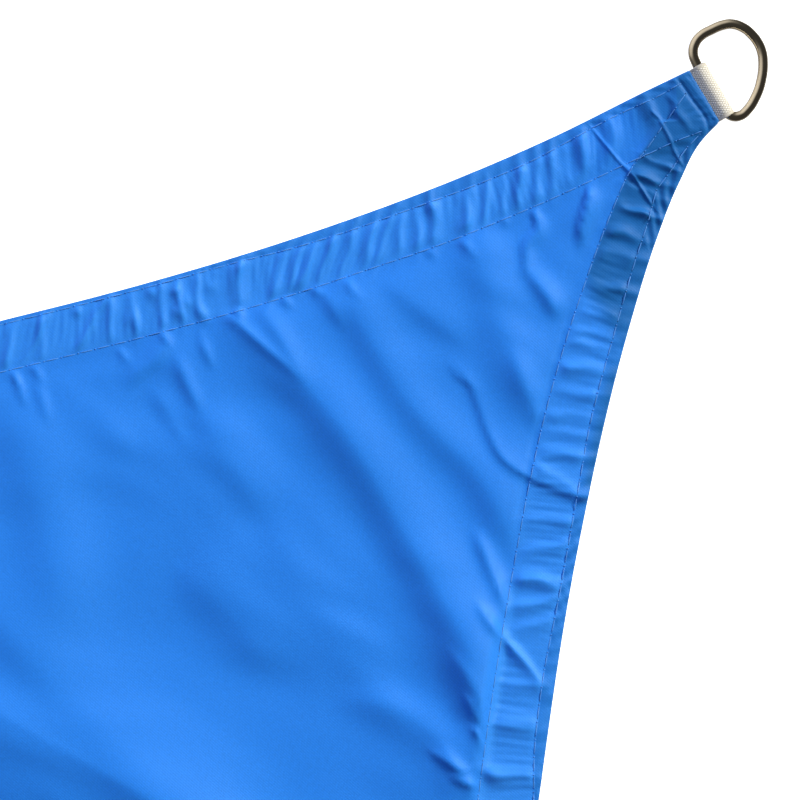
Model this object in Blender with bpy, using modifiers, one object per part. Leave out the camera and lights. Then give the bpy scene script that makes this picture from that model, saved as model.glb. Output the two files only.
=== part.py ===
"""Square shade sail of coated cloth, lying face up, with a D-ring held by a webbing loop at each corner.

Corner 1 is at +X +Y and the others follow counter-clockwise. Side 1 runs from corner 1 to corner 2, and so on.
All sizes are in metres, except in the tables, which are in millimetres.
"""

import math

import bmesh
import bpy
from mathutils import Matrix, Vector

MM = 0.001
CORNERS = 4

# Outline
CORNER_PITCH = 1.936  # between the middles of two neighbouring corner ends
END_WIDTH = 0.0244  # the cloth's straight end at a corner, as wide as its webbing
END_SKEW_DEG = 18.7  # each corner end is turned this far from the corner's diagonal
END_HEADING = math.radians(45 - END_SKEW_DEG)

# How far an edge lies inside the straight line between its two corners
EDGE = (
    # along, inset
    (22, -4.4),
    (64, 12.9),
    (106, 27.7),
    (169, 46.0),
    (232, 60.6),
    (295, 72.4),
    (968, 142.5),
    (1653, 87.3),
    (1750, 65.5),
    (1846, 36.3),
    (1878, 23.9),
    (1902, 12.4),
    (1918, 2.2),
)

# Cloth
CLOTH_THICKNESS = 0.0010
HEM_LAYER = 0.0010  # what a turned-under hem adds
HEM_WIDTH = 0.025
HEM_STEP = 0.007
END_THICKNESS = CLOTH_THICKNESS + 2 * HEM_LAYER
END_RISE_LENGTH = 0.040  # over which the cloth rises to its webbing, towards a corner's end

# Cells of the cloth, fine near corner 1 and at the other corners, coarse in the field
FINE_CELL = 0.014
FINE_REACH = 0.300
FAR_CELL = 0.030
COARSE_CELL = 0.100
CELL_GROWTH = 1.35

# Folds that lift the cloth, each a ridge from one point to another. along and down are measured from the middle of
# the corner's end: along the corner's own side, and down the side before it. bow is how far the middle of the ridge
# lies outside its straight line, towards the side. outer and inner are the widths of its two flanks.
FOLD_COLUMNS = ("corner", "along_0", "down_0", "along_1", "down_1", "bow", "outer", "inner", "rise")
FOLDS = (
    (1, 203, 72, 107, 266, 18, 30, 19, 4.8),
    (1, 153, 69, 91, 176, 0, 20, 15, 2.8),
    (1, 105, 45, 81, 132, 4, 18, 20, 2.4),
    (1, 112, 97, 58, 161, -14, 18, 10, 1.2),
    (1, 222, 98, 193, 165, 0, 22, 22, 2.6),
    (1, 231, 173, 190, 231, 4, 34, 19, 2.6),
    (1, 293, 97, 271, 209, 2, 30, 26, 3.2),
    (1, 318, 181, 222, 278, 0, 44, 32, 4.4),
    (1, 329, 222, 189, 330, 9, 30, 60, 6.0),
    (1, 172, 237, 116, 286, 16, 14, 17, 2.3),
    (1, 196, 140, 142, 247, 0, 30, 26, 1.2),
    (1, 420, 160, 330, 560, 40, 60, 80, 6.0),
    (1, 150, 400, 520, 760, 50, 90, 70, 7.0),
    (1, 620, 250, 800, 700, -50, 80, 90, 6.0),
    (2, 90, 45, 190, 180, 8, 26, 20, 3.5),
    (2, 150, 60, 420, 260, -14, 50, 40, 4.5),
    (2, 110, 130, 280, 420, 22, 38, 45, 5.0),
    (2, 420, 180, 700, 620, -40, 95, 80, 6.5),
    (3, 80, 50, 230, 150, -8, 30, 24, 3.5),
    (3, 120, 110, 330, 360, 14, 40, 40, 5.0),
    (3, 90, 170, 160, 430, -12, 44, 34, 4.0),
    (3, 380, 260, 760, 480, 36, 80, 90, 6.5),
    (4, 100, 60, 260, 130, 8, 30, 26, 3.5),
    (4, 130, 120, 390, 330, -18, 36, 44, 5.0),
    (4, 90, 200, 190, 520, 16, 48, 40, 4.5),
    (4, 520, 200, 640, 640, 30, 100, 90, 6.0),
)
FOLD_RUN_OUT = 0.3  # the share of a fold's length in which it runs out, at either end

# D-ring
WIRE = 0.0041
WIRE_RESOLUTION = 2
RING_STEPS = 2  # wire points for each row of the table
BAR_OUT = 0.0037  # from the cloth's end to the bar
# The wire's middle line in the ring's own plane: out from the bar, and left along it from the webbing's middle
RING = (
    # out, left
    (0.0, -5.0),
    (0.0, -11.6),
    (0.5, -13.2),
    (1.8, -14.3),
    (4.6, -14.4),
    (8.4, -13.8),
    (14.2, -10.8),
    (19.4, -6.3),
    (24.1, 0.2),
    (25.7, 4.2),
    (26.1, 8.0),
    (25.6, 12.1),
    (24.2, 15.9),
    (20.8, 19.8),
    (17.2, 21.4),
    (12.0, 22.0),
    (7.2, 21.9),
    (3.6, 20.5),
    (1.0, 17.6),
    (0.0, 13.8),
    (0.0, 5.0),
)

# Webbing loop
GAP = 0.0003  # between pieces that touch
WEBBING_THICKNESS = 0.0010
TAIL_THICKNESS = 0.0024  # the loop's two layers where they enter the cloth
LOOP_INNER = WIRE / 2 + GAP
LOOP_OUTER = LOOP_INNER + WEBBING_THICKNESS
TURN_STEPS = 16


def clear_scene():
    for scene_object in list(bpy.data.objects):
        bpy.data.objects.remove(scene_object)


def principled(name, color, roughness, metallic):
    material = bpy.data.materials.new(name)
    material.use_nodes = True
    shader = material.node_tree.nodes["Principled BSDF"]
    shader.inputs["Base Color"].default_value = (*color, 1)
    shader.inputs["Roughness"].default_value = roughness
    shader.inputs["Metallic"].default_value = metallic
    return material


def add_part(collection, name, data, material, place=None):
    part = bpy.data.objects.new(name, data)
    part.data.materials.append(material)
    part.matrix_world = place or Matrix()
    collection.objects.link(part)
    return part


def corner_frame(number):
    """Origin at the middle of a corner's end, with the axes of corner 1 turned to this corner."""
    half = CORNER_PITCH / 2
    turn = Matrix.Rotation((number - 1) * math.tau / CORNERS, 4, "Z")
    return turn @ Matrix.Translation((half, half, 0))


def end_frame(number):
    """X points out of a corner's end, and Y along the end towards the corner's own side."""
    return corner_frame(number) @ Matrix.Rotation(END_HEADING, 4, "Z")


def edge_knots():
    """The edge table in metres, between the tips of the two corner ends that the edge joins."""
    aside = END_WIDTH / 2 * math.cos(END_HEADING)
    ahead = END_WIDTH / 2 * math.sin(END_HEADING)
    rows = [(along * MM, inset * MM) for along, inset in EDGE]
    return [(ahead, -aside), *rows, (CORNER_PITCH - aside, -ahead)]


def smooth_value(knots, where):
    """A smooth curve through knots (x, y). The slope at a knot is that of a parabola through its neighbours."""
    spans = [after[0] - before[0] for before, after in zip(knots, knots[1:])]
    rises = [(after[1] - before[1]) / (after[0] - before[0]) for before, after in zip(knots, knots[1:])]
    index = 0
    while index < len(spans) - 1 and where > knots[index + 1][0]:
        index += 1

    def slope(knot):
        if knot in (0, len(spans)):
            return rises[min(knot, len(rises) - 1)]
        weighted = rises[knot - 1] * spans[knot] + rises[knot] * spans[knot - 1]
        return weighted / (spans[knot - 1] + spans[knot])

    span = spans[index]
    t = min(max((where - knots[index][0]) / span, 0), 1)
    return (
        knots[index][1] * (1 + 2 * t) * (1 - t) ** 2
        + slope(index) * span * t * (1 - t) ** 2
        + knots[index + 1][1] * t * t * (3 - 2 * t)
        + slope(index + 1) * span * t * t * (t - 1)
    )


def soft_step(value):
    value = min(max(value, 0), 1)
    return value * value * (3 - 2 * value)


def side_coordinates(number, point):
    """How far a point lies along a side, and how far inside its straight line."""
    local = corner_frame(number).inverted() @ point
    return -local.x, -local.y


def border_point(number, stops, index, backwards):
    """A grid line's end on a side, counted from the side's first corner, or backwards from its last."""
    share = (stops[index] - stops[1]) / (stops[-2] - stops[1])
    if backwards:
        share = 1 - share
    if share < 0:
        return corner_frame(number).translation
    if share > 1:
        return corner_frame(number + 1).translation
    knots = edge_knots()
    along = knots[0][0] + share * (knots[-1][0] - knots[0][0])
    return corner_frame(number) @ Vector((-along, -smooth_value(knots, along), 0))


def cell_stops():
    """Distances of the cloth's grid lines from corner 1, along its two sides."""
    hem = [0, END_WIDTH / 2, HEM_WIDTH, HEM_WIDTH + HEM_STEP]

    def growing(first_cell, reach):
        lines = list(hem)
        while lines[-1] < reach:
            lines.append(lines[-1] + first_cell)
        cell = first_cell
        while cell < COARSE_CELL:
            lines.append(lines[-1] + cell)
            cell *= CELL_GROWTH
        return lines

    near = growing(FINE_CELL, FINE_REACH)
    far = growing(FAR_CELL, 0)
    middle = CORNER_PITCH - near[-1] - far[-1]
    steps = round(middle / COARSE_CELL)
    between = [near[-1] + middle * step / steps for step in range(1, steps)]
    return near + between + [CORNER_PITCH - line for line in reversed(far)]


def fold_height(point):
    """How far the folds lift the cloth off the surface at a point."""
    height = 0
    for row in FOLDS:
        fold = dict(zip(FOLD_COLUMNS, row))
        here = Vector(side_coordinates(fold["corner"], point)) / MM
        start = Vector((fold["along_0"], fold["down_0"]))
        run = Vector((fold["along_1"], fold["down_1"])) - start
        share = (here - start).dot(run) / run.length_squared
        if not 0 < share < 1:
            continue
        inwards = Vector((-run.y, run.x)).normalized()
        if inwards.y < 0:
            inwards.negate()
        aside = (here - start).dot(inwards) + 4 * fold["bow"] * share * (1 - share)
        flank = fold["inner"] if aside > 0 else fold["outer"]
        if abs(aside) < flank:
            run_out = soft_step(share / FOLD_RUN_OUT) * soft_step((1 - share) / FOLD_RUN_OUT)
            height += fold["rise"] * MM * run_out * math.cos(math.pi / 2 * aside / flank) ** 2
    return height


def end_height(point):
    """How far the webbing, which lies round the bar, lifts the cloth near a corner's end."""
    from_end = min(-(end_frame(number).inverted() @ point).x for number in range(1, CORNERS + 1))
    return (LOOP_OUTER - END_THICKNESS / 2) * soft_step(1 - from_end / END_RISE_LENGTH)


def cloth_thickness(point):
    """One layer in the field, one more in each hem that the point lies in."""
    knots = edge_knots()
    thickness = CLOTH_THICKNESS
    for number in range(1, CORNERS + 1):
        along, inside = side_coordinates(number, point)
        step = HEM_STEP / 2
        edge = smooth_value(knots, along)
        slope = (smooth_value(knots, along + step) - smooth_value(knots, along - step)) / (2 * step)
        from_edge = (inside - edge) / math.hypot(1, slope)
        thickness += HEM_LAYER * soft_step((HEM_WIDTH + HEM_STEP - from_edge) / HEM_STEP)
    return thickness


def sail_cloth(collection, material):
    """A grid between the four hollow edges, lifted by the folds. Its four corner points make way for the ends."""
    stops = cell_stops()
    last = len(stops) - 1
    top = [border_point(1, stops, index, False) for index in range(last + 1)]
    left = [border_point(2, stops, index, False) for index in range(last + 1)]
    bottom = [border_point(3, stops, index, True) for index in range(last + 1)]
    right = [border_point(4, stops, index, True) for index in range(last + 1)]

    grid = bmesh.new()
    bmesh.ops.create_grid(grid, x_segments=last, y_segments=last, size=last / 2)
    corners = [vert for vert in grid.verts if len(vert.link_faces) == 1]
    bmesh.ops.delete(grid, geom=corners, context="VERTS")
    for vert in grid.verts:
        column = round(last / 2 - vert.co.x)
        row = round(last / 2 - vert.co.y)
        s = stops[column] / CORNER_PITCH
        t = stops[row] / CORNER_PITCH
        across = right[row].lerp(left[row], s)
        down = top[column].lerp(bottom[column], t)
        corner_mean = top[0].lerp(top[-1], s).lerp(bottom[0].lerp(bottom[-1], s), t)
        vert.co = across + down - corner_mean
        vert.co.z = fold_height(vert.co) + end_height(vert.co)
    mesh = bpy.data.meshes.new("sail_cloth")
    grid.to_mesh(mesh)
    grid.free()

    cloth = add_part(collection, "sail_cloth", mesh, material)
    layers = cloth.vertex_groups.new(name="layers")
    for vert in mesh.vertices:
        layers.add([vert.index], cloth_thickness(vert.co) / END_THICKNESS, "REPLACE")
    thicken = cloth.modifiers.new("thickness", "SOLIDIFY")
    thicken.thickness = END_THICKNESS
    thicken.offset = 1
    thicken.vertex_group = layers.name


def webbing_loop(collection, material, number):
    """A band round the ring's bar, its two ends laid together where they enter the cloth."""
    tail = Vector((GAP - BAR_OUT, TAIL_THICKNESS / 2))
    leaves_at = math.atan2(tail.y, tail.x) - math.acos(LOOP_OUTER / tail.length)
    turn = [leaves_at * (2 * step / TURN_STEPS - 1) for step in range(TURN_STEPS + 1)]
    outline = [(LOOP_OUTER * math.cos(angle), LOOP_OUTER * math.sin(angle)) for angle in turn]
    outline += [(tail.x, tail.y), (tail.x, -tail.y)]
    full_turn = [math.tau * step / TURN_STEPS for step in range(TURN_STEPS)]
    hole = [(LOOP_INNER * math.cos(angle), LOOP_INNER * math.sin(angle)) for angle in full_turn]

    curve = bpy.data.curves.new(f"webbing_loop_{number}", "CURVE")
    curve.dimensions = "2D"
    curve.fill_mode = "BOTH"
    curve.extrude = END_WIDTH / 2
    for points in (outline, hole):
        spline = curve.splines.new("POLY")
        spline.points.add(len(points) - 1)
        spline.use_cyclic_u = True
        for spline_point, (out, up) in zip(spline.points, points):
            spline_point.co = (out, up, 0, 1)
    stand = Matrix.Translation((BAR_OUT, 0, LOOP_OUTER)) @ Matrix.Rotation(math.pi / 2, 4, "X")
    add_part(collection, curve.name, curve, material, end_frame(number) @ stand)


def ring_line():
    """Points of the ring's closed middle line: a smooth curve through the rows of its table."""
    rows = [Vector(row) * MM for row in RING]
    line = []
    for index, start in enumerate(rows):
        before = rows[index - 1]
        end = rows[(index + 1) % len(rows)]
        after = rows[(index + 2) % len(rows)]
        for step in range(RING_STEPS):
            t = step / RING_STEPS
            leave = (end - before) / 2
            arrive = (after - start) / 2
            point = (
                start * (1 + 2 * t) * (1 - t) ** 2
                + leave * t * (1 - t) ** 2
                + end * t * t * (3 - 2 * t)
                + arrive * t * t * (t - 1)
            )
            line.append(point)
    return line


def d_ring(collection, material, number):
    """Round wire in a D. The webbing holds its bar up, and its bow slopes down to the surface."""
    line = ring_line()
    curve = bpy.data.curves.new(f"d_ring_{number}", "CURVE")
    curve.dimensions = "3D"
    curve.bevel_depth = WIRE / 2
    curve.bevel_resolution = WIRE_RESOLUTION
    curve.use_fill_caps = True
    spline = curve.splines.new("POLY")
    spline.points.add(len(line) - 1)
    spline.use_cyclic_u = True
    for spline_point, point in zip(spline.points, line):
        spline_point.co = (*point, 0, 1)
    reach = max(point.x for point in line)
    slope = math.asin((LOOP_OUTER - WIRE / 2) / reach)
    place = Matrix.Translation((BAR_OUT, 0, LOOP_OUTER)) @ Matrix.Rotation(slope, 4, "Y")
    add_part(collection, curve.name, curve, material, end_frame(number) @ place)


clear_scene()
sail = bpy.data.collections.new("shade_sail")
bpy.context.scene.collection.children.link(sail)
cloth_blue = principled("coated_cloth", (0.03, 0.22, 0.8), 0.5, 0)
webbing_white = principled("webbing", (0.72, 0.68, 0.6), 0.8, 0)
ring_steel = principled("polished_steel", (0.5, 0.47, 0.42), 0.2, 1)
sail_cloth(sail, cloth_blue)
for corner in range(1, CORNERS + 1):
    webbing_loop(sail, webbing_white, corner)
    d_ring(sail, ring_steel, corner)
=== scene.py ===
import math

import bmesh
import bpy
import numpy as np
from mathutils import Matrix, Vector
from mathutils.geometry import delaunay_2d_cdt


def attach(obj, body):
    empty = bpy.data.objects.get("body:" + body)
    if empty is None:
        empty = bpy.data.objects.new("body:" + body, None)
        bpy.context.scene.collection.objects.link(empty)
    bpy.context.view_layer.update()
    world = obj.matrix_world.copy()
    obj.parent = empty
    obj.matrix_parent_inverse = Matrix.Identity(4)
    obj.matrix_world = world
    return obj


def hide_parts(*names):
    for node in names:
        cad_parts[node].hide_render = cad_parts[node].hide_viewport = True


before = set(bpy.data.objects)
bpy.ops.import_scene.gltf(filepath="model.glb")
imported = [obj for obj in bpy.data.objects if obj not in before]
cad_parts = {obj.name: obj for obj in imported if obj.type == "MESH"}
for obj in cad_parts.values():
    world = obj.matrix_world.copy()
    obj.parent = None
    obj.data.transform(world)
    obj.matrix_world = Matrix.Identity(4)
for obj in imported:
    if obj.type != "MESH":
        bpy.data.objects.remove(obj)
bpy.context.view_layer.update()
bpy.ops.object.select_all(action="DESELECT")

# Camera: straight above the photographed corner, far back with a long lens, so that the view is nearly
# parallel. The picture is turned a little to the sail, whose sides lie along X and Y.
CORNER_PITCH = 1.936
HALF_PITCH = CORNER_PITCH / 2
VIEW_CENTRE = Vector((HALF_PITCH - 0.1330, HALF_PITCH - 0.1158, 0))
VIEW_WIDTH = 0.328
VIEW_TURN = math.radians(3.9)
CAMERA_HEIGHT = 2.4
SENSOR = 36

scene = bpy.context.scene
camera_data = bpy.data.cameras.new("camera")
camera_data.sensor_width = SENSOR
camera_data.lens = SENSOR * CAMERA_HEIGHT / VIEW_WIDTH
camera = bpy.data.objects.new("camera", camera_data)
camera.location = VIEW_CENTRE + Vector((0, 0, CAMERA_HEIGHT))
camera.rotation_euler = (0, 0, -VIEW_TURN)
scene.collection.objects.link(camera)
scene.camera = camera
scene.view_settings.view_transform = "Standard"

# Studio: a plain white floor that glows, so that no shadow shows on it, one wide warm light, low at the upper
# right, and a dim room, brighter at the upper left, which the rings mirror. Its light on matt surfaces is
# bluer, which keeps the cloth blue in its shadows.
FLOOR_WIDTH = 60
FLOOR_BELOW = 0.0003


def new_paint(name):
    """A new material, with its tree and its shader."""
    paint = bpy.data.materials.new(name)
    paint.use_nodes = True
    return paint, paint.node_tree, paint.node_tree.nodes["Principled BSDF"]


def feed(node, socket, value):
    """Set a node's input to a value, or link it to a node's output, given as (node, output)."""
    if isinstance(value, tuple) and isinstance(value[0], bpy.types.Node):
        node.id_data.links.new(value[0].outputs[value[1]], node.inputs[socket])
    else:
        node.inputs[socket].default_value = value


def add_node(tree, kind, settings=(), **inputs):
    """A shader node with its settings and what its inputs are fed."""
    made = tree.nodes.new("ShaderNode" + kind)
    for name, value in settings:
        setattr(made, name, value)
    for name, value in inputs.items():
        feed(made, name.replace("_", " "), value)
    return made


def mixed(tree, share, first, second, blend="MIX"):
    """A mix of two colours, as its node and output."""
    made = add_node(tree, "Mix", [("data_type", "RGBA"), ("blend_type", blend)])
    for socket, value in ((0, share), (6, first), (7, second)):
        feed(made, socket, value)
    return made, 2


bpy.ops.mesh.primitive_plane_add(size=FLOOR_WIDTH, location=(0, 0, -FLOOR_BELOW))
floor = bpy.context.active_object
floor.name = "floor"
floor_paint, _, shader = new_paint("white_floor")
feed(shader, "Base Color", (0.9, 0.9, 0.9, 1))
feed(shader, "Roughness", 0.9)
feed(shader, "Specular IOR Level", 0.1)
feed(shader, "Emission Color", (1, 1, 1, 1))
feed(shader, "Emission Strength", 1.0)
floor.data.materials.append(floor_paint)
floor.visible_glossy = False
bpy.ops.object.select_all(action="DESELECT")

KEY_HEADING = math.radians(33)
KEY_ELEVATION = math.radians(32)
key_data = bpy.data.lights.new("key", "SUN")
key_data.energy = 4.85
key_data.angle = math.radians(22)
key_data.color = (1.03, 1.0, 0.84)
key = bpy.data.objects.new("key", key_data)
key.rotation_euler = (math.pi / 2 - KEY_ELEVATION, 0, KEY_HEADING + math.pi / 2)
scene.collection.objects.link(key)

ROOM_BRIGHT_SIDE = Vector((-0.62, 0.70, 0.35)).normalized()
ROOM_STEPS = ((0.0, 0.04), (0.68, 0.05), (0.77, 0.18), (0.86, 0.62), (1.0, 1.05))
ROOM_BELOW = 0.42
ROOM_TINT = (0.80, 0.96, 1.50)
room = bpy.data.worlds.new("room")
room.use_nodes = True
tree = room.node_tree
place = add_node(tree, "TexCoord")
facing = add_node(tree, "VectorMath", [("operation", "DOT_PRODUCT")])
feed(facing, 0, (place, "Generated"))
feed(facing, 1, ROOM_BRIGHT_SIDE)
share = add_node(tree, "MapRange", From_Min=-1, Value=(facing, "Value"))
ramp = add_node(tree, "ValToRGB", Fac=(share, "Result"))
steps = ramp.color_ramp.elements
while len(steps) < len(ROOM_STEPS):
    steps.new(0.5)
for step, (position, brightness) in zip(steps, ROOM_STEPS):
    step.position = position
    step.color = (brightness, brightness, brightness, 1)
split = add_node(tree, "SeparateXYZ", Vector=(place, "Generated"))
below = add_node(tree, "MapRange", From_Min=-0.15, From_Max=-0.75, To_Max=ROOM_BELOW, Value=(split, "Z"))
light = add_node(tree, "VectorMath")
feed(light, 0, (ramp, "Color"))
feed(light, 1, (below, "Result"))
tinted = add_node(tree, "VectorMath", [("operation", "MULTIPLY")])
feed(tinted, 0, (light, "Vector"))
feed(tinted, 1, ROOM_TINT)
rays = add_node(tree, "LightPath")
light = mixed(tree, (rays, "Is Diffuse Ray"), (light, "Vector"), (tinted, "Vector"))
feed(tree.nodes["Background"], "Color", light)
scene.world = room


# Sail cloth: one square sheet of coated plain-weave polyester with hollow edges, laid face up. Its hem is
# turned to the underside and sewn with two rows of stitches, which pucker it. The sheet is a triangle net,
# finer at the photographed corner, raised by the tables' folds, and turned under all round.
MM = 0.001
CORNERS = 4
SIDES = range(1, CORNERS + 1)
END_WIDTH = 0.0244
END_HEADING = math.radians(45 - 18.7)
END_OUTWARD = np.array((math.cos(END_HEADING), math.sin(END_HEADING)))
END_LEFT = np.array((-END_OUTWARD[1], END_OUTWARD[0]))
EDGE = (
    # along, inset
    (22, -4.4), (64, 12.9), (106, 27.7), (169, 46), (232, 60.6), (295, 72.4), (968, 142.5),
    (1653, 87.3), (1750, 65.5), (1846, 36.3), (1878, 23.9), (1902, 12.4), (1918, 2.2),
)
SEAM = (
    # along, outer, inner
    (0, 3.9, 24.5), (20, 3.9, 24.2), (45, 3.6, 23), (58, 4.2, 22.8), (72, 5.2, 22.8),
    (95, 5.4, 22.7), (120, 4.7, 22.6), (150, 4.4, 21.9), (175, 3.6, 21.8), (195, 2.3, 21.6),
    (230, 1.8, 21.1), (296, 1.6, 20.5), (968, 4, 22.5), (1656, 2.6, 24.8), (1668, 4.2, 24.9),
    (1696, 5.3, 24.8), (1736, 4.1, 24.5), (1776, 4.7, 24.8), (1806, 5.7, 24.5), (1836, 5.3, 23.4),
    (1866, 5.5, 21.9), (1886, 5.9, 21), (1896, 7.1, 20.5), (1906, 4.4, 19), (1914, 3.4, 17.4),
    (1936, 3.9, 17.4),
)
CLOTH_THICKNESS = 0.0010
HEM_LAYER = 0.0010
END_THICKNESS = CLOTH_THICKNESS + 2 * HEM_LAYER
END_RISE_LENGTH = 0.040
LOOP_OUTER = 0.00335


def soft_step(value):
    value = np.clip(value, 0, 1)
    return value * value * (3 - 2 * value)


def joined(start, leave, end, arrive, t):
    """A smooth curve from start to end, at share t, which leaves and arrives with the given slopes."""
    return (
        start * (1 + 2 * t) * (1 - t) ** 2
        + leave * t * (1 - t) ** 2
        + end * t * t * (3 - 2 * t)
        + arrive * t * t * (t - 1)
    )


def smooth_value(knots, where):
    """A smooth curve through knots (x, y), with the slopes of parabolas through each knot's neighbours."""
    x, y = knots[:, 0], knots[:, 1]
    spans = np.diff(x)
    rises = np.diff(y) / spans
    inner = (rises[:-1] * spans[1:] + rises[1:] * spans[:-1]) / (spans[:-1] + spans[1:])
    slopes = np.concatenate([rises[:1], inner, rises[-1:]])
    index = np.clip(np.searchsorted(x, where, side="left") - 1, 0, len(spans) - 1)
    span = spans[index]
    t = np.clip((where - x[index]) / span, 0, 1)
    return joined(y[index], slopes[index] * span, y[index + 1], slopes[index + 1] * span, t)


end_aside, end_ahead = END_WIDTH / 2 * END_OUTWARD
edge_rows = [(along * MM, inset * MM) for along, inset in EDGE]
EDGE_KNOTS = np.array([(end_ahead, -end_aside), *edge_rows, (CORNER_PITCH - end_aside, -end_ahead)])
OUTER_ROW = np.array([(along, outer) for along, outer, inner in SEAM]) * MM
INNER_ROW = np.array([(along, inner) for along, outer, inner in SEAM]) * MM


def turned(points, quarter_turns):
    """Points turned about the sail's middle by whole quarter turns."""
    for _ in range(quarter_turns % CORNERS):
        points = np.stack([-points[..., 1], points[..., 0]], axis=-1)
    return points


def side_coordinates(number, points):
    """How far points lie along a side from its first corner, and how far inside its straight line."""
    local = turned(points, CORNERS - (number - 1))
    return HALF_PITCH - local[..., 0], HALF_PITCH - local[..., 1]


def edge_at(along):
    """The edge curve's inset at places along a side, its slope there, and the length of that slope's run."""
    probe = 0.002
    ahead, behind = (smooth_value(EDGE_KNOTS, along + shift) for shift in (probe, -probe))
    slope = (ahead - behind) / (2 * probe)
    return smooth_value(EDGE_KNOTS, along), slope, np.hypot(1, slope)


def side_points(number, along, from_edge):
    """Points at distances from a side's edge, square to it."""
    inset, slope, length = edge_at(along)
    x = along - from_edge * slope / length
    y = inset + from_edge / length
    points = np.stack([HALF_PITCH - x, HALF_PITCH - y], axis=-1)
    return turned(points, number - 1)


def edge_distances(points):
    """Each point's place along the four sides, and its distances from their edges."""
    places, distances = [], []
    for number in SIDES:
        along, inside = side_coordinates(number, points)
        foot = along
        for _ in range(3):
            inset, slope, length = edge_at(foot)
            distance = (inside - inset + slope * (foot - along)) / length
            foot = np.clip(along + distance * slope / length, 0, CORNER_PITCH)
        places.append(foot)
        distances.append(distance)
    return np.array(places), np.array(distances)


def beyond_end(number, points):
    """How far points lie beyond a corner's straight end."""
    return (turned(points, CORNERS - (number - 1)) - HALF_PITCH) @ END_OUTWARD


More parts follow.
